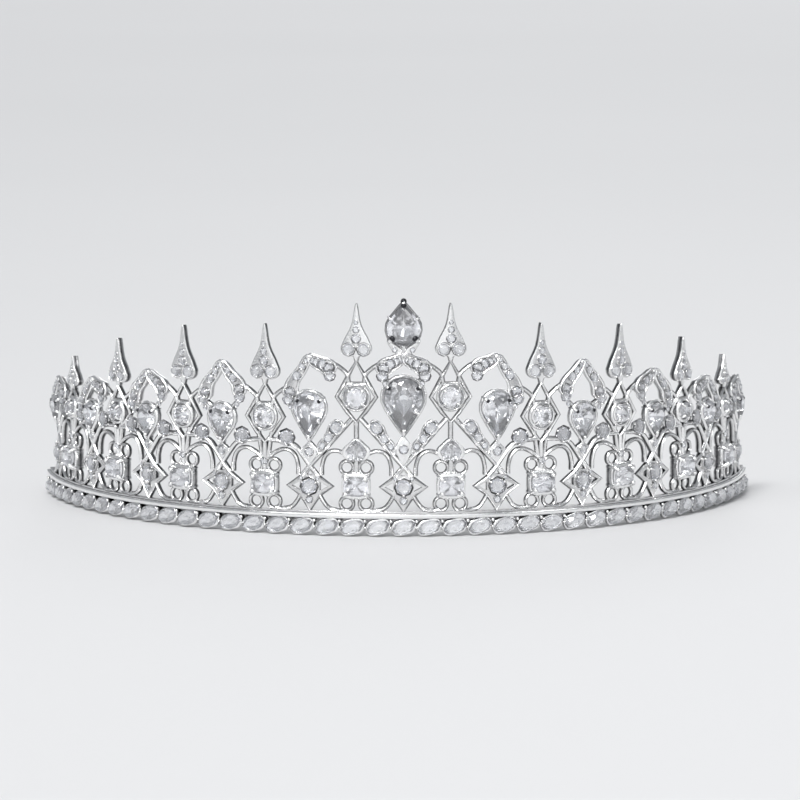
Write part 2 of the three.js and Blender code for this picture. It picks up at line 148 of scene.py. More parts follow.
def makeLamps():
    world = bpy.data.worlds.new("studio")
    world.use_nodes = True
    sky = world.node_tree.nodes["Background"]
    sky.inputs["Color"].default_value = studio["skyColour"]
    sky.inputs["Strength"].default_value = studio["skyStrength"]
    bpy.context.scene.world = world
    sun = bpy.data.lights.new("sun", "SUN")
    sun.energy = studio["sunStrength"]
    sun.angle = studio["sunSpread"]
    addObject("sun", sun).rotation_euler = studio["sunTurn"]
    for name, place, size, power in studio["lamps"]:
        data = bpy.data.lights.new(name, "AREA")
        data.shape = "SQUARE"
        data.size = size
        data.energy = power
        lamp = addObject(name, data)
        lamp.location = place
        lamp.rotation_euler = (-Vector(place)).to_track_quat("-Z", "Y").to_euler()
        lamp.visible_camera = False


makeLamps()
bpy.context.scene.view_settings.view_transform = "Standard"

# Node groups shared by the materials

surface = {
    "mottleScale": 900,
    "mottleDetail": 3,
    "mottleMiddle": 0.5,
    "waveDetail": 4,
    "hairDetail": 2,
    "hairStretch": 7,  # hairlines lie along the band
    "bumpDepth": 0.00004,
    "stoneCloudDetail": 1,
}


def operate(nodes, operation, kind="ShaderNodeMath"):
    node = nodes.new(kind)
    node.operation = operation
    return node


def addNoise(nodes, detail, scale=None):
    noise = nodes.new("ShaderNodeTexNoise")
    noise.inputs["Detail"].default_value = detail
    if scale is not None:
        noise.inputs["Scale"].default_value = scale
    return noise


def addTint(nodes, first, second):
    tint = nodes.new("ShaderNodeMix")
    tint.data_type = "RGBA"
    tint.inputs["A"].default_value = first
    tint.inputs["B"].default_value = second
    return tint


def newGroup(name, numbers, outputs):
    # every group takes coordinates and some plain numbers, and gives plain numbers
    group = bpy.data.node_groups.new(name, "ShaderNodeTree")
    group.interface.new_socket("Coordinates", in_out="INPUT", socket_type="NodeSocketVector")
    for way, labels in (("INPUT", numbers), ("OUTPUT", outputs)):
        for label in labels:
            group.interface.new_socket(label, in_out=way, socket_type="NodeSocketFloat")
    return group, group.nodes.new("NodeGroupInput"), group.nodes.new("NodeGroupOutput")


def makeRecessGroup():
    # painted shade: how near a point lies to the middle of the metal's thickness, on the sides where light
    # reaches least, stirred by a mottle of noise
    numbers = ("Middle Radius", "Half Depth", "Mottle")
    group, given, made = newGroup("recessShade", numbers, ("Mask",))
    nodes = group.nodes
    offset = operate(nodes, "SUBTRACT", "ShaderNodeVectorMath")
    offset.inputs[1].default_value = (0, centreY * mm, 0)
    flat = operate(nodes, "MULTIPLY", "ShaderNodeVectorMath")
    flat.inputs[1].default_value = (1, 1, 0)
    reach = operate(nodes, "LENGTH", "ShaderNodeVectorMath")
    aside = operate(nodes, "SUBTRACT")
    gap = operate(nodes, "ABSOLUTE")
    share = operate(nodes, "DIVIDE")
    near = operate(nodes, "SUBTRACT")
    near.inputs[0].default_value = 1
    noise = addNoise(nodes, surface["mottleDetail"], surface["mottleScale"])
    lean = operate(nodes, "SUBTRACT")
    lean.inputs[1].default_value = surface["mottleMiddle"]
    stir = operate(nodes, "MULTIPLY_ADD")
    clip = nodes.new("ShaderNodeClamp")
    place = given.outputs["Coordinates"]
    for source, target in (
        (place, offset.inputs[0]),
        (offset.outputs[0], flat.inputs[0]),
        (flat.outputs[0], reach.inputs[0]),
        (reach.outputs["Value"], aside.inputs[0]),
        (given.outputs["Middle Radius"], aside.inputs[1]),
        (aside.outputs[0], gap.inputs[0]),
        (gap.outputs[0], share.inputs[0]),
        (given.outputs["Half Depth"], share.inputs[1]),
        (share.outputs[0], near.inputs[1]),
        (place, noise.inputs["Vector"]),
        (noise.outputs["Fac"], lean.inputs[0]),
        (lean.outputs[0], stir.inputs[0]),
        (given.outputs["Mottle"], stir.inputs[1]),
        (near.outputs[0], stir.inputs[2]),
        (stir.outputs[0], clip.inputs["Value"]),
        (clip.outputs[0], made.inputs["Mask"]),
    ):
        group.links.new(source, target)
    return group


def makePolishGroup():
    # fine hairlines and soft hammering left by polishing, as a height and a roughness
    numbers = ("Scale", "Smooth", "Rough")
    group, given, made = newGroup("polishMarks", numbers, ("Height", "Roughness"))
    nodes = group.nodes
    waves = addNoise(nodes, surface["waveDetail"])
    stretch = nodes.new("ShaderNodeMapping")
    stretch.inputs["Scale"].default_value = (1, 1, surface["hairStretch"])
    hairs = addNoise(nodes, surface["hairDetail"])
    both = operate(nodes, "ADD")
    span = nodes.new("ShaderNodeMapRange")
    place = given.outputs["Coordinates"]
    for source, target in (
        (place, waves.inputs["Vector"]),
        (place, stretch.inputs["Vector"]),
        (stretch.outputs[0], hairs.inputs["Vector"]),
        (given.outputs["Scale"], waves.inputs["Scale"]),
        (given.outputs["Scale"], hairs.inputs["Scale"]),
        (waves.outputs["Fac"], both.inputs[0]),
        (hairs.outputs["Fac"], both.inputs[1]),
        (hairs.outputs["Fac"], span.inputs["Value"]),
        (given.outputs["Smooth"], span.inputs["To Min"]),
        (given.outputs["Rough"], span.inputs["To Max"]),
        (both.outputs[0], made.inputs["Height"]),
        (span.outputs[0], made.inputs["Roughness"]),
    ):
        group.links.new(source, target)
    return group


recessShade = makeRecessGroup()
polishMarks = makePolishGroup()


def newMaterial(name):
    material = bpy.data.materials.new(name)
    material.use_nodes = True
    tree = material.node_tree
    return material, tree.nodes, tree.links, tree.nodes["Principled BSDF"]


def placeGroup(nodes, group, values):
    node = nodes.new("ShaderNodeGroup")
    node.node_tree = group
    for label, value in values.items():
        node.inputs[label].default_value = value
    return node


def silverMaterial(name, look):
    material, nodes, links, shader = newMaterial(name)
    place = nodes.new("ShaderNodeTexCoord")
    depths = {"Middle Radius": look["middle"], "Half Depth": look["half"], "Mottle": look["mottle"]}
    recess = placeGroup(nodes, recessShade, depths)
    polish = {"Scale": look["grain"], "Smooth": look["smooth"], "Rough": look["rough"]}
    marks = placeGroup(nodes, polishMarks, polish)
    # the metal's own bright colour turns to the painted dark colour on its sides: painted shade
    tint = addTint(nodes, look["bright"], look["paintedDark"])
    bump = nodes.new("ShaderNodeBump")
    bump.inputs["Strength"].default_value = look["bump"]
    bump.inputs["Distance"].default_value = surface["bumpDepth"]
    links.new(place.outputs["Object"], recess.inputs["Coordinates"])
    links.new(place.outputs["Object"], marks.inputs["Coordinates"])
    links.new(recess.outputs["Mask"], tint.inputs["Factor"])
    links.new(tint.outputs["Result"], shader.inputs["Base Color"])
    links.new(marks.outputs["Roughness"], shader.inputs["Roughness"])
    links.new(marks.outputs["Height"], bump.inputs["Height"])
    links.new(bump.outputs["Normal"], shader.inputs["Normal"])
    shader.inputs["Metallic"].default_value = 1
    return material


def cloudyColour(nodes, links, shader, noise, tint):
    # a soft wander between two colours
    place = nodes.new("ShaderNodeTexCoord")
    links.new(place.outputs["Object"], noise.inputs["Vector"])
    links.new(noise.outputs["Fac"], tint.inputs["Factor"])
    links.new(tint.outputs["Result"], shader.inputs["Base Color"])


def stoneMaterial(name, look):
    material, nodes, links, shader = newMaterial(name)
    noise = addNoise(nodes, surface["stoneCloudDetail"], look["scale"])
    cloudyColour(nodes, links, shader, noise, addTint(nodes, look["clear"], look["cool"]))
    shader.inputs["Roughness"].default_value = 0.0
    shader.inputs["IOR"].default_value = look["ior"]
    shader.inputs["Transmission Weight"].default_value = look["clearness"]
    return material


def floorMaterial():
    material, nodes, links, shader = newMaterial("paleFloor")
    noise = addNoise(nodes, studio["floorCloudDetail"], studio["floorCloud"])
    cloudyColour(nodes, links, shader, noise, addTint(nodes, *studio["floorColours"]))
    shader.inputs["Roughness"].default_value = studio["floorRoughness"]
    return material


# each silver's second colour is painted shade, laid on the sides of the metal by recessShade
castSilver = silverMaterial("castSilver", {
    "middle": 0.067, "half": 0.00062, "mottle": 0.35,
    "grain": 1400.0, "smooth": 0.12, "rough": 0.34, "bump": 0.6,
    "bright": (0.9, 0.9, 0.9, 1), "paintedDark": (0.045, 0.045, 0.05, 1),
})
railSilver = silverMaterial("railSilver", {
    "middle": 0.0668, "half": 0.0009, "mottle": 0.3,
    "grain": 1000.0, "smooth": 0.1, "rough": 0.24, "bump": 0.3,
    "bright": (0.9, 0.9, 0.9, 1), "paintedDark": (0.12, 0.12, 0.125, 1),
})
# near-black silver for claw tips: a painted dark reflection, with painted shade on its sides
paintedDarkReflection = silverMaterial("paintedDarkReflection", {
    "middle": 0.067, "half": 0.0015, "mottle": 0.5,
    "grain": 2200.0, "smooth": 0.22, "rough": 0.45, "bump": 0.6,
    "bright": (0.045, 0.045, 0.05, 1), "paintedDark": (0.015, 0.015, 0.017, 1),
})
# the foil backing is real; its greyer second colour is partly painted shade and partly mottle
stoneFoil = silverMaterial("stoneFoil", {
    "middle": 0.067, "half": 0.0012, "mottle": 0.6,
    "grain": 500.0, "smooth": 0.1, "rough": 0.2, "bump": 0.15,
    "bright": (0.98, 0.98, 1.0, 1), "paintedDark": (0.74, 0.76, 0.8, 1),
})
clearStone = stoneMaterial("clearStone", {
    "scale": 320.0, "ior": 2.0, "clearness": 0.91,
    "clear": (1.0, 1.0, 1.0, 1), "cool": (0.92, 0.94, 1.0, 1),
})
paveStone = stoneMaterial("paveStone", {
    "scale": 700.0, "ior": 1.75, "clearness": 0.9,
    "clear": (1.0, 1.0, 1.0, 1), "cool": (0.93, 0.95, 1.0, 1),
})


def makeFloor():
    bm = bmesh.new()
    radius = studio["floorSize"] / 2
    bmesh.ops.create_circle(bm, cap_ends=True, segments=studio["floorSides"], radius=radius)
    mesh = meshFrom(bm, "floor")
    mesh.materials.append(floorMaterial())
    addObject("floor", mesh)


makeFloor()
print("camera, lamps, floor and materials made")

# Small tools for flat drawing


def mirrored(points):
    return [(-p[0], *p[1:]) for p in reversed(points)]


def symmetric(rightSide):
    return [*rightSide, *mirrored([p for p in rightSide if p[0] > 0])]


def onSide(side, points):
    return [(side * p[0], *p[1:]) for p in points]


def ring(x, y, radius, count):
    turns = [2 * pi * i / count for i in range(count)]
    return [(x + radius * cos(turn), y + radius * sin(turn)) for turn in turns]


def raised(points, lift):
    return [(x, y + lift) for x, y in points]


def grown(points, heart, share):
    return [(heart[0] + (p[0] - heart[0]) * share, heart[1] + (p[1] - heart[1]) * share) for p in points]


def pearOutline(width, height, count):
    # tip at the origin, round end up
    radius = width / 2
    middle = height - radius
    lean = asin(radius / middle)
    sweep = pi + 2 * lean
    turns = [-lean + sweep * i / count for i in range(count + 1)]
    arcPoints = [(radius * cos(t), middle + radius * sin(t)) for t in turns]
    first, last = arcPoints[0], arcPoints[-1]
    flanks = [(first[0] * k, first[1] * k) for k in (0.36, 0.7)]
    returning = [(last[0] * k, last[1] * k) for k in (0.7, 0.36)]
    return [(0, 0), *flanks, *arcPoints, *returning]


def addSpline(data, points, radius, closed, corners):
    spline = data.splines.new("POLY" if corners else "BEZIER")
    line = spline.points if corners else spline.bezier_points
    line.add(len(points) - 1)
    for place, p in zip(line, points):
        deep = p[2] if len(p) > 2 else 0
        place.co = (p[0], p[1], deep, 1) if corners else (p[0], p[1], deep)
        place.radius = radius
        if not corners:
            place.handle_left_type = "AUTO"
            place.handle_right_type = "AUTO"
    spline.use_cyclic_u = closed
    return spline


def curveInto(bm, data, matrix=None):
    holder = bpy.data.objects.new("curve", data)
    mesh = bpy.data.meshes.new_from_object(holder)
    if matrix is not None:
        mesh.transform(matrix)
    bm.from_mesh(mesh)
    bpy.data.objects.remove(holder)
    bpy.data.meshes.remove(mesh)
    bpy.data.curves.remove(data)


def newWires(sides):
    data = bpy.data.curves.new("wires", "CURVE")
    data.dimensions = "3D"
    data.bevel_depth = 1
    data.bevel_resolution = (sides - 4) // 2
    data.resolution_u = 5
    data.use_fill_caps = True
    return data


def newParts():
    # one casting's metal, its small stones, its claw tips painted dark as a painted dark reflection, and
    # the wires still to be swept
    return {
        "metal": bmesh.new(),
        "stones": bmesh.new(),
        "darkReflectionTips": bmesh.new(),
        "wires": newWires(8),
        "claws": newWires(8),
    }


castingDims = {
    "half": 0.7,
    "wire": 0.49,
    "fineWire": 0.42,
    "stemWire": 0.5,
    "edge": 0.16,
    "wireDepth": 1.5,  # wires are this much deeper than wide
}


def addWire(parts, points, radius=None, closed=False, corners=False):
    addSpline(parts["wires"], points, radius or castingDims["wire"], closed, corners)


def addClaw(parts, points, radius):
    addSpline(parts["claws"], points, radius, False, False)


def addPlate(parts, outline, back=None, front=None, holes=(), corners=False, edge=None):
    rim = castingDims["edge"] if edge is None else edge
    low = -castingDims["half"] if back is None else back
    high = castingDims["half"] if front is None else front
    data = bpy.data.curves.new("plate", "CURVE")
    data.dimensions = "2D"
    data.fill_mode = "BOTH"
    data.extrude = (high - low) / 2 - rim
    data.bevel_depth = rim
    data.bevel_resolution = 1
    data.offset = -rim
    data.resolution_u = 4
    for line in (outline, *holes):
        addSpline(data, line, 1, True, corners)
    curveInto(parts["metal"], data, Matrix.Translation((0, 0, (low + high) / 2)))


def atDepth(points, deep):
    # wires are stretched later, so their depth is given for before that
    return [(x, y, deep / castingDims["wireDepth"]) for x, y in points]


def addRimmedPlate(parts, outline, front, rim):
    # a leaf with a raised wire along its edge
    addPlate(parts, outline, front=front)
    addWire(parts, atDepth(outline, castingDims["half"] - rim), rim, closed=True)


def addRims(parts, outline, heart, rims):
    # plain wires round a stone, at different depths
    for share, deep, radius in rims:
        rim = atDepth(grown(outline, heart, share), deep)
        addWire(parts, rim, radius, closed=True, corners=True)


def addCopy(bm, template, matrix):
    start = len(bm.verts)
    bm.from_mesh(template)
    bm.verts.ensure_lookup_table()
    bmesh.ops.transform(bm, matrix=matrix, verts=bm.verts[start:])


def scaledTo(x, y, z, radius):
    return Matrix.Translation((x, y, z)) @ Matrix.Scale(radius, 4)


# Stones

stoneCuts = {
    # share of the outline and of the height, for each ring above and below the girdle
    "fine": {
        "crown": ((0.86, 0.56), (0.7, 0.84), (0.5, 1.0)),
        "pavilion": ((0.8, 0.24), (0.5, 0.56), (0.22, 0.84)),
    },
    "plain": {"crown": ((0.84, 0.6), (0.52, 1.0)), "pavilion": ((0.6, 0.46),)},
}
facets = {
    "girdleEdge": 0.06,  # half the girdle's thickness, as a share of the crown's height
    "flatWithin": radians(0.6),
    "foilBelow": -0.1,
}
cutDepths = {
    # where the girdle lies, the crown and the pavilion, as shares of the stone's depth in the frame
    "pear": (0.68, 0.32, 0.68),
    "round": (0.66, 0.34, 0.66),
    "cushion": (0.4, 0.5, 1.15),
    "drop": (0.2, 0.6, 0.9),
}
smallCut = {"sides": 8, "crown": 0.36, "pavilion": 0.7}
smallCupDims = {
    # all for a stone of radius 1
    "sides": 8,
    "foot": 0.8,
    "mouth": 1.3,
    "rim": 0.24,
    "sink": 0.3,
    "drop": 0.45,
    "grain": 0.2,
    "grainReach": 1.04,
    "grainRise": 0.12,
    "seat": 0.05,
}
smallStoneRise = 0.1  # of its girdle over the casting's front
prong = {
    "foot": 0.7,  # how far outside the stone it stands, of its radius
    "bend": 0.8,  # where it turns over the stone, of its lift
    "tip": 1.3,  # of its radius
}


def cutStone(bm, outline, heart, girdle, crownHeight, pavilion, cut="fine"):
    # rings of points at the girdle, up the crown and down the pavilion, wrapped in flat facets
    part = bmesh.new()
    between = [((a[0] + b[0]) / 2, (a[1] + b[1]) / 2) for a, b in zip(outline, outline[1:] + outline[:1])]
    edge = crownHeight * facets["girdleEdge"]
    rings = [(outline, 1, girdle + edge), (outline, 1, girdle - edge)]
    for i, (share, rise) in enumerate(stoneCuts[cut]["crown"]):
        rings.append((between if i % 2 == 0 else outline, share, girdle + crownHeight * rise))
    for i, (share, drop) in enumerate(stoneCuts[cut]["pavilion"]):
        rings.append((between if i % 2 == 0 else outline, share, girdle - pavilion * drop))
    for points, share, height in rings:
        for p in grown(points, heart, share):
            part.verts.new((*p, height))
    part.verts.new((*heart, girdle - pavilion))
    hull = bmesh.ops.convex_hull(part, input=part.verts[:])
    loose = {v for v in hull["geom_interior"] + hull["geom_unused"] if isinstance(v, bmesh.types.BMVert)}
    bmesh.ops.delete(part, geom=list(loose), context="VERTS")
    flats = dict(angle_limit=facets["flatWithin"], verts=part.verts[:], edges=part.edges[:])
    bmesh.ops.dissolve_limit(part, **flats)
    bmesh.ops.recalc_face_normals(part, faces=part.faces[:])
    part.normal_update()
    for face in part.faces:
        # small stones are backed with foil
        foiled = cut == "plain" and face.normal.z < facets["foilBelow"]
        face.material_index = 1 if foiled else 0
    pourInto(bm, part)


def cutToDepth(kind, outline, heart, low, high):
    # a stone that takes its place and depth from the frame's box
    bm = bmesh.new()
    depth = high[2] - low[2]
    girdle, crownHeight, pavilion = [depth * share for share in cutDepths[kind]]
    cutStone(bm, outline, heart, low[2] + girdle, crownHeight, pavilion)
    return bm


def stoneTemplate():
    bm = bmesh.new()
    outline = ring(0, 0, 1, smallCut["sides"])
    cutStone(bm, outline, (0, 0), 0, smallCut["crown"], smallCut["pavilion"], "plain")
    return meshFrom(bm, "smallStone")


def cupTemplate():
    # the cup of a small stone: a short cone with a sunk floor, and three grains over its rim
    bm = bmesh.new()
    cup = smallCupDims
    cone = dict(segments=cup["sides"], radius1=cup["foot"], radius2=cup["mouth"], depth=1)
    bmesh.ops.create_cone(bm, cap_ends=True, **cone)
    top = max(bm.faces, key=lambda f: f.calc_center_median().z)
    bmesh.ops.inset_region(bm, faces=[top], thickness=cup["rim"])
    bmesh.ops.translate(bm, vec=(0, 0, -cup["sink"]), verts=top.verts[:])
    bmesh.ops.translate(bm, vec=(0, 0, -cup["drop"]), verts=bm.verts[:])
    for i in range(3):
        turn = 2 * pi * i / 3 + pi / 6
        reach = cup["grainReach"]
        spot = Matrix.Translation((reach * cos(turn), reach * sin(turn), cup["grainRise"]))
        bmesh.ops.create_icosphere(bm, subdivisions=1, radius=cup["grain"], matrix=spot)
    return meshFrom(bm, "cup")


def beadTemplate():
    bm = bmesh.new()
    bmesh.ops.create_uvsphere(bm, u_segments=8, v_segments=5, radius=1)
    return meshFrom(bm, "bead")


smallStone = stoneTemplate()
smallCup = cupTemplate()
smallBead = beadTemplate()


def addGem(parts, x, y, radius, front=None):
    # a small round stone in its cup; front is where its girdle lies
    girdle = castingDims["half"] + smallStoneRise if front is None else front
    addCopy(parts["stones"], smallStone, scaledTo(x, y, girdle, radius))
    addCopy(parts["metal"], smallCup, scaledTo(x, y, girdle - smallCupDims["seat"] * radius, radius))


def addBead(bm, x, y, z, radius):
    addCopy(bm, smallBead, scaledTo(x, y, z, radius))


def addProng(parts, heart, edge, girdle, lift, reach, radius, paintedDark=False):
    # a claw that rises past the girdle and bends in over the stone
    outward = Vector((edge[0] - heart[0], edge[1] - heart[1])).normalized()
    foot = Vector(edge) + outward * radius * prong["foot"]
    over = Vector(edge) - outward * reach
    bend = (*(foot + over) / 2, girdle + lift * prong["bend"])
    claw = [(*foot, -castingDims["half"]), (*foot, girdle), bend, (*over, girdle + lift)]
    addClaw(parts, claw, radius)
    # a dark-tipped claw puts its tip bead with the claw tips painted dark, a painted dark reflection
    addBead(parts["darkReflectionTips" if paintedDark else "metal"], *over, girdle + lift, radius * prong["tip"])


# Placing on the arc

meshFinish = {"weld": 0.002, "sharpFrom": radians(50)}


def bendOnArc(bm, angle, side, foot):
    for v in bm.verts:
        turn = angle + v.co.x / arc["radius"]
        out = arc["radius"] + v.co.z
        v.co = Vector((side * out * sin(turn), centreY - out * cos(turn), foot + v.co.y)) * mm


def standOnArc(bm, angle, side, foot):
    tangent = Vector((cos(angle), sin(angle), 0))
    outward = Vector((sin(angle), -cos(angle), 0))
    spot = outward * arc["radius"] + Vector((0, centreY, foot))
    turned = Matrix((tangent, Vector((0, 0, 1)), outward)).transposed().to_4x4()
    bmesh.ops.transform(bm, matrix=Matrix.Translation(spot) @ turned, verts=bm.verts[:])
    bmesh.ops.scale(bm, vec=(side * mm, mm, mm), verts=bm.verts[:])


def finishPiece(bm, name, looks, nodes=(), smooth=True):
    bmesh.ops.remove_doubles(bm, verts=bm.verts[:], dist=meshFinish["weld"] * mm)
    bmesh.ops.recalc_face_normals(bm, faces=bm.faces[:])
    mesh = meshFrom(bm, name)
    for material in looks:
        mesh.materials.append(material)
    if smooth:
        mesh.shade_smooth()
        mesh.set_sharp_from_angle(angle=meshFinish["sharpFrom"])
    piece = addObject(name, mesh)
    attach(piece, "root")
    if nodes:
        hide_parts(*nodes)


def finishStone(bm, node):
    finishPiece(bm, node + "_cut", (clearStone, stoneFoil), (node,), smooth=False)


def sweepWires(parts):
    stretch = Matrix.Diagonal((1, 1, castingDims["wireDepth"], 1))
    curveInto(parts["metal"], parts.pop("wires"), stretch)
    curveInto(parts["metal"], parts.pop("claws"))


def placeCasting(parts, node, angle, side):
    # the flat casting is copied, bent on to the arc and finished as metal, small stones and claw tips
    # painted dark as a painted dark reflection
    finishes = [
        ("metal", (castSilver,), "casting_metal"),
        ("stones", (paveStone, stoneFoil), "clear_stone"),
        ("darkReflectionTips", (paintedDarkReflection,), "casting_metal"),
    ]
    for key, looks, slot in finishes:
        if not parts[key].verts:
            continue
        bm = parts[key].copy()
        bendOnArc(bm, angle, side, castingFoot)
        replaced = (node,) if key == "metal" else ()
        finishPiece(bm, node + "_" + key, looks, replaced, smooth=key != "stones")


def flatBox(node, angle):
    # a CAD node's lowest and highest x, y, z in its own flat drawing
    tangent = Vector((cos(angle), sin(angle), 0))
    outward = Vector((sin(angle), -cos(angle), 0))
    spots = []
    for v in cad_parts[node].data.vertices:
        p = v.co / mm - Vector((0, centreY, castingFoot))
        spots.append((p.dot(tangent), p.z, p.dot(outward) - arc["radius"]))
    return [min(s) for s in zip(*spots)], [max(s) for s in zip(*spots)]


# Arches

star = {
    "centre": 4.6,
    "halfWidth": 4.2,
    "foot": 0.15,
    "top": 8.3,
    "waist": 1.8,
    "waistRise": 1.6,
    "front": 0.5,
    "edge": 0.08,
    "wire": 0.38,
    "leg": [(2.55, 1.7), (3.4, 0.75), (4.6, 0.35), (5.0, 0.35)],
    "sideHole": {"near": 0.5, "far": 0.8, "rise": 0.8},
    "topHole": {"half": 0.55, "rise": 2.1, "gap": 0.75},
    "stone": 1.4,
    "stoneFront": 0.95,
    "footStone": (0, 2.1, 0.58),
    "sideStone": {"x": 1.5, "rise": 1.55, "radius": 0.3, "front": 0.85},
}
deepSide = {
    # from the star's top
    "line": [(-1.6, -1.9), (0, 0), (2.2, 2.5), (4.6, 5.2)],
    "short": 0.7,
    "meet": 1.1,
    "leafOuter": [(1.7, 2.4), (3.4, 4.0), (5.3, 6.2), (6.1, 7.6)],
    "leafInner": [(5.4, 8.5), (4.1, 7.9), (3.0, 5.6), (1.6, 3.7)],
    "front": 0.45,
    "rim": 0.26,
    "stones": [(4.9, 7.2, 1.08), (3.5, 5.25, 0.8), (2.35, 3.8, 0.54)],
}
lowSide = {
    "line": [(-1.6, -1.9), (0, 0), (1.5, 2.1)],  # from the star's top
    "onward": [(2.9, 12.0), (4.4, 12.5)],
    "short": 0.6,
    "meet": 1,
    "endCurl": [(5.5, 13.2), (5.4, 14.2)],
    "endCurlTip": (4.8, 1.9),
    "stone": (4.25, 13.45, 1.35),
}
arm = {
    "front": 0.45,
    "rim": 0.28,
    "stones": (0.4, 0.6, 0.78, 0.85),
    # from the lozenge's top
    "wire": [(4.2, -0.9), (5.6, -1.7), (6.9, -3.0), (7.2, -4.4)],
    "footStone": {"x": 3.85, "drop": 3.1, "radius": 0.9, "front": 1.0},
    "trail": {"start": (3.7, 3.2), "out": 0.36, "down": 0.13, "radius": 0.4},
    "trailStone": {"x": 3.3, "drop": 4.5, "radius": 0.42, "front": 0.9},
}
kiteDims = {"gap": 0.3, "half": 1.75, "rise": 0.5, "front": 0.6, "stone": 0.72, "stoneShare": 0.22}
pearMount = {
    "heart": 0.55,  # of the width, below the round end
    "rims": [(1.1, 0.42, 0.34), (1.02, -0.28, 0.28)],  # share of the outline, depth, radius
    # where on the stone, then lift, reach and radius
    "shoulder": {"out": 0.41, "down": 0.22, "prong": (0.55, 0.45, 0.3)},
    "flank": {"out": 0.34, "up": 0.36, "prong": (0.4, 0.35, 0.24)},
    "tip": (0.3, 0.5, 0.3),
}
archList = [
    # inner and outer side of the V: deep, with a stone-set crescent, or low, with a round bead
    {"inner": "deep", "outer": "deep", "innerTrail": True},
    {"inner": "deep", "outer": "low", "innerTrail": False},
    *[{"inner": "low", "outer": "low", "innerTrail": True}] * 4,
]
spireList = [
    {"top": 28.2, "foot": 16.1, "drop": True},
    {"top": 23.6, "foot": 11.9, "drop": False},
    {"top": 22.6, "foot": 11.8, "drop": False},
    {"top": 20.6, "foot": 11.7, "drop": False},
    {"top": 18.2, "foot": 11.6, "drop": False},
]
endArmTop = 16.4  # the outermost arch comes down here, past the last lozenge


def addStar(parts):
    centre, waist, top = star["centre"], star["waist"], star["top"]
    low, high = centre - star["waistRise"], centre + star["waistRise"]
    right = [(0, star["foot"]), (waist, low), (star["halfWidth"], centre), (waist, high), (0, top)]
    outline = symmetric(right)
    addWire(parts, outline, star["wire"], closed=True, corners=True)
    hole = star["sideHole"]
    inner, outer = star["stone"] + hole["near"], star["halfWidth"] - hole["far"]
    opening = [(inner, centre - hole["rise"]), (outer, centre), (inner, centre + hole["rise"])]
    holes = [onSide(side, opening) for side in (-1, 1)]
    hole = star["topHole"]
    foot = centre + hole["rise"]
    holes.append([(-hole["half"], foot), (hole["half"], foot), (0, top - hole["gap"])])
    addPlate(parts, outline, front=star["front"], holes=holes, corners=True, edge=star["edge"])
    addGem(parts, 0, centre, star["stone"], star["stoneFront"])
    addGem(parts, *star["footStone"])
    gem = star["sideStone"]
    for side in (-1, 1):
        addGem(parts, side * gem["x"], centre + gem["rise"], gem["radius"], gem["front"])
        addWire(parts, onSide(side, [(waist, low), *star["leg"]]), castingDims["fineWire"])


def addDeepSide(parts, side, lozengeFoot):
    top = star["top"]
    end = (halfUnit - deepSide["short"], lozengeFoot + deepSide["meet"])
    addWire(parts, onSide(side, [*raised(deepSide["line"], top), end]))
    leaf = raised(deepSide["leafOuter"] + deepSide["leafInner"], top)
    addRimmedPlate(parts, onSide(side, leaf), deepSide["front"], deepSide["rim"])
    for x, y, radius in deepSide["stones"]:
        addGem(parts, side * x, top + y, radius)


def addLowSide(parts, side, lozengeFoot, last):
    line = [*raised(lowSide["line"], star["top"]), *lowSide["onward"]]
    if last:
        x, drop = lowSide["endCurlTip"]
        line.extend([*lowSide["endCurl"], (x, endArmTop - drop)])  # curls up to the arm's foot
    else:
        line.append((halfUnit - lowSide["short"], lozengeFoot + lowSide["meet"]))
    addWire(parts, onSide(side, line))
    x, y, radius = lowSide["stone"]
    addGem(parts, side * x, y, radius)


def addArm(parts, side, apex, lozengeTop, pear, trail, meetsLozenge):
    drop = apex - lozengeTop
    leaf = [
        (-0.25, apex),
        (0, apex - 1.1),
        (0.9, apex - 1.9 - drop / 4),
        (2, (apex + lozengeTop) / 2 - 2.4),
        (2.9, lozengeTop - 2.9),
        (4.7, lozengeTop - 2.3),
        (4.6, lozengeTop - 0.9),
        (2.3, apex - drop / 2),
    ]
    addRimmedPlate(parts, onSide(side, leaf), arm["front"], arm["rim"])
    upper = [(0.5, apex - 0.75), (1.35, apex - 0.95 - drop * 0.2)]
    lower = [(2.35, apex - drop / 2 - 1.2), (3.6, lozengeTop - 1.8)]
    for (x, y), radius in zip(upper + lower, arm["stones"]):
        addGem(parts, side * x, y, radius)
    if meetsLozenge:
        addWire(parts, onSide(side, raised(arm["wire"], lozengeTop)), castingDims["fineWire"])
    gem = arm["footStone"]
    addGem(parts, side * gem["x"], lozengeTop - gem["drop"], gem["radius"], gem["front"])
    if trail:
        way, gem = arm["trail"], arm["trailStone"]
        start = (way["start"][0], lozengeTop - way["start"][1])
        shoulder = (pear["width"] * way["out"], pear["top"] - pear["width"] * way["down"])
        addWire(parts, onSide(side, [start, shoulder]), way["radius"])
        addGem(parts, side * gem["x"], lozengeTop - gem["drop"], gem["radius"], gem["front"])


def addKite(parts, tip):
    top = star["top"]
    right = [(0, top - kiteDims["gap"]), (kiteDims["half"], (tip + top) / 2 + kiteDims["rise"]), (0, tip)]
    addPlate(parts, symmetric(right), corners=True, front=kiteDims["front"])
    radius = min(kiteDims["stone"], (tip - top) * kiteDims["stoneShare"])
    addGem(parts, 0, (tip + top) / 2 + kiteDims["gap"], radius)


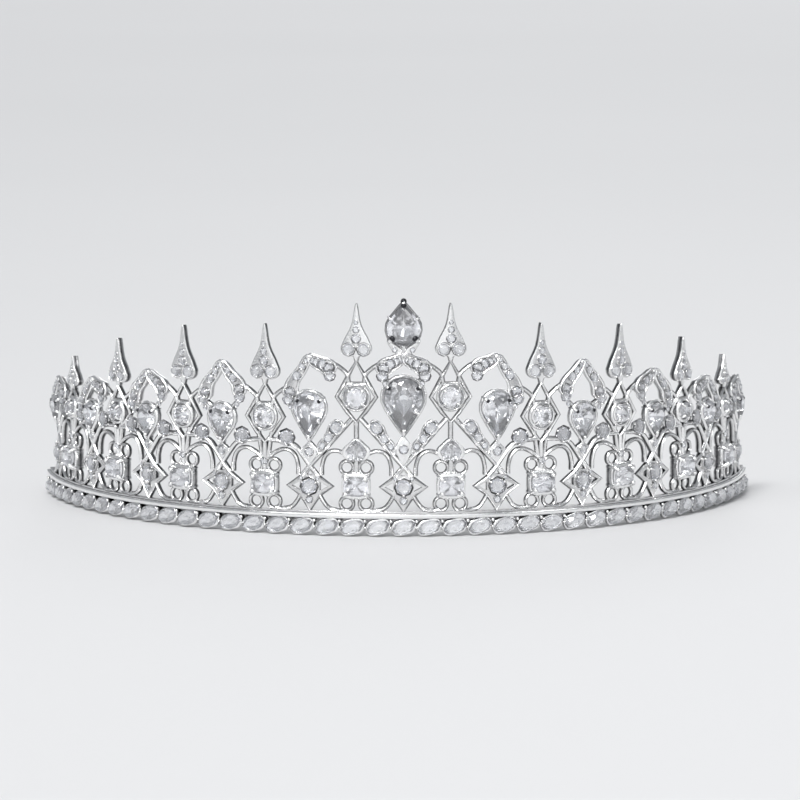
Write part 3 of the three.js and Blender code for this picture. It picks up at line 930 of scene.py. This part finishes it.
def archParts(index, apex, pear):
    parts = newParts()
    arch = archList[index]
    width, top, tip, girdle = pear["width"], pear["top"], pear["tip"], pear["girdle"]
    heart = (0, top - width * pearMount["heart"])
    outline = raised(pearOutline(width, top - tip, 12), tip)
    addStar(parts)
    addKite(parts, tip - kiteDims["gap"])
    addRims(parts, outline, heart, pearMount["rims"])
    shoulder, flank = pearMount["shoulder"], pearMount["flank"]
    for side in (-1, 1):
        inner = side < 0
        neighbour = max(index - 1, 0) if inner else index
        last = neighbour >= len(spireList)
        foot = spireList[min(neighbour, len(spireList) - 1)]["foot"]
        lozengeTop = endArmTop if last else spireList[neighbour]["top"]
        kind = arch["inner"] if inner else arch["outer"]
        if kind == "deep":
            addDeepSide(parts, side, foot)
        else:
            addLowSide(parts, side, foot, last)
        addArm(parts, side, apex, lozengeTop, pear, arch["innerTrail"] or not inner, not last)
        edge = (side * width * shoulder["out"], top - width * shoulder["down"])
        addProng(parts, heart, edge, girdle, *shoulder["prong"], paintedDark=True)
        edge = (side * width * flank["out"], tip + (top - tip) * flank["up"])
        addProng(parts, heart, edge, girdle, *flank["prong"])
    addProng(parts, heart, (0, tip), girdle, *pearMount["tip"])
    sweepWires(parts)
    return parts


def pearPlace(node, angle):
    low, high = flatBox(node, angle)
    girdle = low[2] + (high[2] - low[2]) * cutDepths["pear"][0]
    return {"tip": low[1], "top": high[1], "width": high[0] - low[0], "girdle": girdle}


def pearShape(low, high):
    width = high[0] - low[0]
    outline = raised(pearOutline(width, high[1] - low[1], 11), low[1])
    return cutToDepth("pear", outline, (0, high[1] - width * pearMount["heart"]), low, high)


def makeArches():
    for index in range(len(archList)):
        angle = index * unitAngle
        number = str(index)
        rightWord = "right_" + number if index else "centre"
        words = [(1, "centre")] if index == 0 else [(-1, "left_" + number), (1, rightWord)]
        apex = flatBox("arch_" + rightWord, angle)[1][1]
        pearNode = "pear_stone_" + rightWord
        parts = archParts(index, apex, pearPlace(pearNode, angle))
        for side, word in words:
            placeCasting(parts, "arch_" + word, angle, side)
            stone = pearShape(*flatBox(pearNode, angle))
            standOnArc(stone, angle, side, castingFoot)
            finishStone(stone, "pear_stone_" + word)


makeArches()
print("arches made")

# Spires

spire = {
    "halfWidth": 3.9,
    "seatCentre": 4.825,
    "seatWidth": 5.0,
    "seatHeight": 4.0,
    "curlX": 1.75,
    "curlRise": 3.325,
    "curlRadius": 1.2,
    "sweepTop": 11.2,
    "spikeGap": 0.5,
    "spikeHalfWidth": 2.9,
    "dropFoot": 9.5,
    "dropHeart": 1.6,
    "curlWire": 0.36,
    "curlBead": {"x": 0.55, "inset": 1.15, "z": 0.3, "radius": 0.5},
    "sweepGap": 0.4,
    "foot": [(2.2, 0.45), (3.3, 0.2), (4.4, 0.3)],
    "stemStone": {"rise": 2.1, "radius": 0.62},
    "stemWires": {"x": 0.5, "rise": 2.4, "out": 1.3},
}
seat = {
    "power": 0.55,
    "count": 20,
    "rim": (0.1, 0.35),  # outside the stone, across and up
    "hole": (0.55, 0.5),
    "front": 1.15,
    "corner": 0.45,
    "girdle": 1.2,
    "prong": (0.75, 0.35, 0.36),
}
lozenge = {
    "share": 0.93,
    "wire": 0.42,
    "rim": 0.42,
    "colletSides": 16,
    "collets": [(0.42, 0.36, 1), (-0.3, 0.3, 0.9)],  # depth, radius, share of the rim
    "barShare": 0.44,
    "barGap": 0.15,
    "girdle": 1.05,
    "prong": (0.5, 0.3, 0.24),
}
spikeDims = {
    "front": 0.6,
    "lobe": 1.05,
    "lobeShare": 0.115,
    "lobeAt": (0.46, 0.13),
    "stones": [(0.33, 0.72), (0.5, 0.5), (0.64, 0.34)],  # share of the height, share of the lobe
}


def superOval(x, y, halfWidth, halfHeight, count, power):
    points = []
    for i in range(count):
        turn = 2 * pi * (i + 0.5) / count
        across = copysign(abs(cos(turn)) ** power, cos(turn))
        up = copysign(abs(sin(turn)) ** power, sin(turn))
        points.append((x + halfWidth * across, y + halfHeight * up))
    return points


def dropHeart():
    return (0, spire["dropFoot"] + spire["dropHeart"])


def dropOutline(scale):
    foot = spire["dropFoot"]
    return symmetric([
        (0, foot),
        (1.5 * scale, foot + 0.2),
        (2.2 * scale, foot + 1.6),
        (1.3 * scale, foot + 3),
        (0, foot + 4),
    ])


def addCurls(parts):
    centre, top, bead = spire["seatCentre"], spire["sweepTop"], spire["curlBead"]
    reach = halfUnit - star["waist"] - spire["sweepGap"]
    for side in (-1, 1):
        for up in (-1, 1):
            curl = ring(side * spire["curlX"], centre + up * spire["curlRise"], spire["curlRadius"], 10)
            addWire(parts, curl, spire["curlWire"], closed=True)
            y = centre + up * (spire["curlRise"] - bead["inset"])
            addBead(parts["metal"], side * bead["x"], y, bead["z"], bead["radius"])
        sweep = [
            (reach, star["centre"] + star["waistRise"] + 0.5),
            (reach - 0.1, top - 2.5),
            (reach * 0.86, top - 0.7),
            (reach * 0.64, top),
            (reach * 0.38, top - 0.4),
            (0.5, top - 1.7),
        ]
        addWire(parts, onSide(side, sweep), castingDims["fineWire"])
        addWire(parts, onSide(side, spire["foot"]), castingDims["fineWire"])


def addSeat(parts):
    centre, count, power = spire["seatCentre"], seat["count"], seat["power"]
    halfWidth, halfHeight = spire["seatWidth"] / 2, spire["seatHeight"] / 2
    wide, tall = seat["rim"]
    rim = superOval(0, centre, halfWidth + wide, halfHeight + tall, count, power)
    wide, tall = seat["hole"]
    hole = superOval(0, centre, halfWidth - wide, halfHeight - tall, count, power)
    addPlate(parts, rim, front=seat["front"], holes=(hole,), corners=True)
    for side in (-1, 1):
        for up in (-1, 1):
            corner = (side * (halfWidth - seat["corner"]), centre + up * (halfHeight - seat["corner"]))
            addProng(parts, (0, centre), corner, seat["girdle"], *seat["prong"])


def addLozenge(parts, top, foot, side, stoneRadius):
    half = spire["halfWidth"]
    right = [
        (0, foot),
        (half * 0.45, foot + (side - foot) * 0.4),
        (half, side),
        (half * 0.46, side + (top - side) * 0.54),
        (0, top),
    ]
    shrunk = grown(symmetric(right), (0, side), lozenge["share"])
    addWire(parts, shrunk, lozenge["wire"], closed=True, corners=True)
    rim = stoneRadius + lozenge["rim"]
    for deep, radius, share in lozenge["collets"]:
        circle = ring(0, side, rim * share, lozenge["colletSides"])
        addWire(parts, atDepth(circle, deep), radius, closed=True)
    reach, bar = half * lozenge["barShare"], side + rim + lozenge["barGap"]
    addWire(parts, [(-reach, bar), (reach, bar)], castingDims["fineWire"])
    for turn in (45, 135, 225, 315):
        t = radians(turn)
        edge = (stoneRadius * cos(t), side + stoneRadius * sin(t))
        addProng(parts, (0, side), edge, lozenge["girdle"], *lozenge["prong"])


def addSpike(parts, top, tip):
    foot = top + spire["spikeGap"]
    height = tip - foot
    half = spire["spikeHalfWidth"]
    outline = symmetric([
        (0, top - 0.4),
        (0.5, foot - 0.1),
        (half * 0.55, foot - 0.15),
        (half * 0.97, foot + height * 0.1),
        (half * 0.84, foot + height * 0.26),
        (half * 0.32, foot + height * 0.58),
        (0.2, tip - 0.3),
        (0, tip),
    ])
    addPlate(parts, outline, front=spikeDims["front"])
    lobe = min(spikeDims["lobe"], height * spikeDims["lobeShare"])
    out, up = spikeDims["lobeAt"]
    for side in (-1, 1):
        addWire(parts, [(0, top - 0.5), (side * 0.35, foot), (side * 1.3, foot + 0.7)], 0.4)
    for side in (-1, 1):
        addGem(parts, side * half * out, foot + height * up, lobe)
    for up, share in spikeDims["stones"]:
        addGem(parts, 0, foot + height * up, lobe * share)


def spireParts(index, side, stoneRadius, tip):
    parts = newParts()
    top, foot = spireList[index]["top"], spireList[index]["foot"]
    addCurls(parts)
    addSeat(parts)
    seatTop = spire["seatCentre"] + spire["seatHeight"] / 2
    addWire(parts, [(0, seatTop - 0.2), (0, foot + 0.4)], castingDims["stemWire"])
    if spireList[index]["drop"]:
        hollow = grown(dropOutline(1), dropHeart(), 0.72)
        addPlate(parts, dropOutline(1.18), front=0.9, holes=(hollow,))
    else:
        gem, wire = spire["stemStone"], spire["stemWires"]
        addGem(parts, 0, seatTop + gem["rise"], gem["radius"])
        for out in (-1, 1):
            line = [(wire["x"], seatTop + wire["rise"]), (wire["out"], foot + wire["rise"])]
            addWire(parts, onSide(out, line), castingDims["fineWire"])
    addLozenge(parts, top, foot, side, stoneRadius)
    addSpike(parts, top, tip)
    sweepWires(parts)
    return parts


def roundShape(low, high):
    middle = (low[1] + high[1]) / 2
    return cutToDepth("round", ring(0, middle, (high[1] - low[1]) / 2, 12), (0, middle), low, high)


def cushionShape(low, high):
    middle = (low[1] + high[1]) / 2
    outline = superOval(0, middle, high[0], (high[1] - low[1]) / 2, 16, 0.6)
    return cutToDepth("cushion", outline, (0, middle), low, high)


def dropShape(low, high):
    return cutToDepth("drop", dropOutline(0.9), dropHeart(), low, high)


def makeSpires():
    for index in range(len(spireList)):
        angle = (index + 0.5) * unitAngle
        number = str(index + 1)
        low, high = flatBox("round_stone_right_" + number, angle)
        tip = flatBox("spire_right_" + number, angle)[1][1]
        parts = spireParts(index, (low[1] + high[1]) / 2, (high[1] - low[1]) / 2, tip)
        stones = [("round_stone_", "_" + number, roundShape), ("square_stone_", "_" + number, cushionShape)]
        if spireList[index]["drop"]:
            stones.append(("drop_stone_", "", dropShape))
        for side, word in ((-1, "left"), (1, "right")):
            placeCasting(parts, "spire_" + word + "_" + number, angle, side)
            for kind, ending, shape in stones:
                bm = shape(*flatBox(kind + "right" + ending, angle))
                standOnArc(bm, angle, side, castingFoot)
                finishStone(bm, kind + word + ending)


makeSpires()
print("spires made")

# Crown pear on the middle arch

crown = {
    "rims": [(1.05, 0.1, 0.24), (0.82, -0.7, 0.24)],  # share of the outline, depth, radius
    # inset or place, then lift, reach and radius
    "tip": {"inset": 0.2, "prong": (0.35, 0.3, 0.42), "bead": 0.6},
    "side": {"turn": radians(-40), "prong": (0.5, 0.5, 0.46), "bead": 0.52},
    "sideBead": {"share": 1.04, "drop": 0.05, "rise": 0.1},
    "upper": {"out": 0.42, "up": 0.22, "prong": (0.4, 0.3, 0.2)},
    "leaf": [(0.1, -1.6), (1.3, -1.5), (2.6, -0.1), (2.9, 0.8), (1.6, 0.3), (0.5, -0.6)],
    "leafFront": 0.55,
    "leafStone": {"x": 1.6, "drop": 0.7, "radius": 0.42},
    "stem": (1.9, 0.4),
}


def makeCrown():
    low, high = flatBox("crown_pear_stone", 0)
    width, height, depth = high[0] - low[0], high[1] - low[1], high[2] - low[2]
    outline = [(-x, high[1] - y) for x, y in pearOutline(width, height, 12)]
    heart = (0, low[1] + width * pearMount["heart"])
    girdle = low[2] + depth * cutDepths["round"][0]
    stone = cutToDepth("round", outline, heart, low, high)
    standOnArc(stone, 0, 1, castingFoot)
    finishStone(stone, "crown_pear_stone")

    parts = newParts()
    addRims(parts, outline, heart, crown["rims"])
    tip, sideClaw, sideBead, upper = crown["tip"], crown["side"], crown["sideBead"], crown["upper"]
    # the tip and side claws and their beads are painted dark, a painted dark reflection
    addProng(parts, heart, (0, high[1] - tip["inset"]), girdle, *tip["prong"], paintedDark=True)
    addBead(parts["darkReflectionTips"], 0, high[1] + tip["inset"], girdle, tip["bead"])
    turn, gem = sideClaw["turn"], crown["leafStone"]
    for side in (-1, 1):
        edge = (side * width / 2 * cos(turn), low[1] + width / 2 + width / 2 * sin(turn))
        addProng(parts, heart, edge, girdle, *sideClaw["prong"], paintedDark=True)
        spot = (edge[0] * sideBead["share"], edge[1] - sideBead["drop"], girdle + sideBead["rise"])
        addBead(parts["darkReflectionTips"], *spot, sideClaw["bead"])
        edge = (side * width * upper["out"], heart[1] + height * upper["up"])
        addProng(parts, heart, edge, girdle, *upper["prong"])
        addPlate(parts, onSide(side, raised(crown["leaf"], low[1])), front=crown["leafFront"])
        addGem(parts, side * gem["x"], low[1] - gem["drop"], gem["radius"])
    below, above = crown["stem"]
    addWire(parts, [(0, low[1] - below), (0, low[1] + above)], castingDims["stemWire"])
    sweepWires(parts)
    placeCasting(parts, "crown_pear_setting", 0, 1)


makeCrown()
print("crown pear made")

# Base band

band = {
    "inner": 65.6,
    "wall": 1.0,
    "railDepth": 2.4,
    "railHeight": 0.9,
    "seamHalf": 0.42,
    "seamOverlap": 0.1,
    "soft": {"wall": 0.2, "rail": 0.24, "seam": 0.1},
    "softSteps": 3,
    "steps": 150,
}
chain = {
    "spacing": 4.7,
    "radius": 67.55,
    "middle": 1.75,
    "height": 3.1,
    "lean": 0.62,
    "halfWidth": 2.2,
    "halfDepth": 0.6,
    "front": 0.1,
    "stoneGirdle": 0.3,
    "stoneCrown": 0.85,
    "stonePavilion": 0.6,
    "stoneShare": (0.9, 0.44),  # of the setting's half width and of its height
    "beadGap": 0.15,
    "beads": [(0.36, 0.35, 0.34), (-0.02, 0.3, 0.28)],  # share of the height, depth, radius
}


def bandHalfAngle():
    # the band's own end, from its outermost corner in the frame
    spots = [v.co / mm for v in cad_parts["base_band"].data.vertices]
    return max(Vector((0, -1)).angle(Vector((p.x, p.y - centreY))) for p in spots)


def spunStrip(bm, inner, outer, low, high, half, soft):
    # a rounded section turned round the arc's centre
    part = bmesh.new()
    start = Matrix.Rotation(-half, 4, "Z")
    corners = [(0, -outer, low), (0, -inner, low), (0, -inner, high), (0, -outer, high)]
    part.faces.new([part.verts.new(start @ Vector(c)) for c in corners])
    rounding = dict(offset=soft, segments=band["softSteps"], affect="VERTICES", profile=0.5, material=-1)
    bmesh.ops.bevel(part, geom=part.verts[:], **rounding)
    turn = dict(cent=(0, 0, 0), axis=(0, 0, 1), angle=2 * half, steps=band["steps"])
    bmesh.ops.spin(part, geom=part.faces[:], use_duplicate=False, **turn)
    bmesh.ops.translate(part, vec=(0, centreY, 0), verts=part.verts[:])
    bmesh.ops.scale(part, vec=(mm, mm, mm), verts=part.verts[:])
    pourInto(bm, part)


def makeBand(half):
    low, high = [corner.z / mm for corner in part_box("base_band")]
    inner, rail, soft = band["inner"], high - band["railHeight"], band["soft"]
    seam, overlap = band["seamHalf"], band["seamOverlap"]
    bm = bmesh.new()
    spunStrip(bm, inner, inner + band["wall"], low, high - soft["wall"], half, soft["wall"])
    spunStrip(bm, inner, inner + band["railDepth"], rail, high, half, soft["rail"])
    # the solder seam on the rail, up to the castings' feet
    near, far = arc["radius"] - seam, arc["radius"] + seam
    spunStrip(bm, near, far, high - overlap, castingFoot + overlap, half, soft["seam"])
    finishPiece(bm, "base_band_metal", (railSilver,), ("base_band",))


def settingOutline():
    half, lean, middle = chain["halfWidth"], chain["lean"], chain["middle"]
    lift = chain["height"] / 2 - 0.1
    return [
        (-half * 0.5 - lean, middle - lift),
        (half * 0.45 - lean, middle - lift * 0.98),
        (half, middle - lift * 0.25),
        (half * 0.5 + lean, middle + lift),
        (-half * 0.45 + lean, middle + lift * 0.98),
        (-half, middle + lift * 0.25),
    ]


def makeChain(half):
    step = chain["spacing"] / chain["radius"]
    count = int((half - step / 2) / step)
    offset = chain["radius"] - arc["radius"]
    middle, height = chain["middle"], chain["height"]
    setting = {"metal": bmesh.new()}
    addPlate(setting, settingOutline(), back=-chain["halfDepth"], front=chain["front"])
    reach = chain["halfWidth"] + chain["beadGap"]
    for x in (-reach, reach):
        for share, z, radius in chain["beads"]:
            addBead(setting["metal"], x, middle + height * share, z, radius)
    stone = bmesh.new()
    wide, tall = chain["stoneShare"]
    outline = superOval(0, 0, chain["halfWidth"] * wide, height * tall, 8, 0.8)
    leaned = [(x + chain["lean"] * y / 1.2, y + middle) for x, y in outline]
    cut = (chain["stoneGirdle"], chain["stoneCrown"], chain["stonePavilion"])
    cutStone(stone, leaned, (0, middle), *cut, "plain")
    metal, stones = bmesh.new(), bmesh.new()
    for source, target in ((setting["metal"], metal), (stone, stones)):
        bmesh.ops.translate(source, vec=(0, 0, offset), verts=source.verts[:])
        for i in range(-count, count + 1):
            part = source.copy()
            standOnArc(part, i * step, 1, 0)
            pourInto(target, part)
    finishPiece(metal, "band_row_settings", (railSilver,), ("band_stone_row",))
    finishPiece(stones, "band_row_stones", (paveStone, stoneFoil), smooth=False)


endLoop = {"wire": 0.45, "stem": 1.2, "stemWire": 0.5}


def makeEndLoops():
    for side, word in ((-1, "left"), (1, "right")):
        node = "end_loop_" + word
        low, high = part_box(node)
        middle = (low + high) / 2 / mm
        radius = (high.z - low.z) / mm / 2 - endLoop["wire"]
        angle = Vector((0, -1)).angle(Vector((middle.x, middle.y - centreY)))
        inset = band["inner"] + band["wall"] / 2 - arc["radius"]
        wires = newWires(12)
        circle = [(x, y, inset) for x, y in ring(0, middle.z, radius, 12)]
        addSpline(wires, circle, endLoop["wire"], True, False)
        stem = [(x, middle.z, inset) for x in (-radius - endLoop["stem"], -radius)]
        addSpline(wires, stem, endLoop["stemWire"], False, True)
        bm = bmesh.new()
        curveInto(bm, wires)
        standOnArc(bm, angle, side, 0)
        finishPiece(bm, node + "_eye", (railSilver,), (node,))


halfAngle = bandHalfAngle()
makeBand(halfAngle)
makeChain(halfAngle)
makeEndLoops()
print("band made, half angle", round(halfAngle, 4))
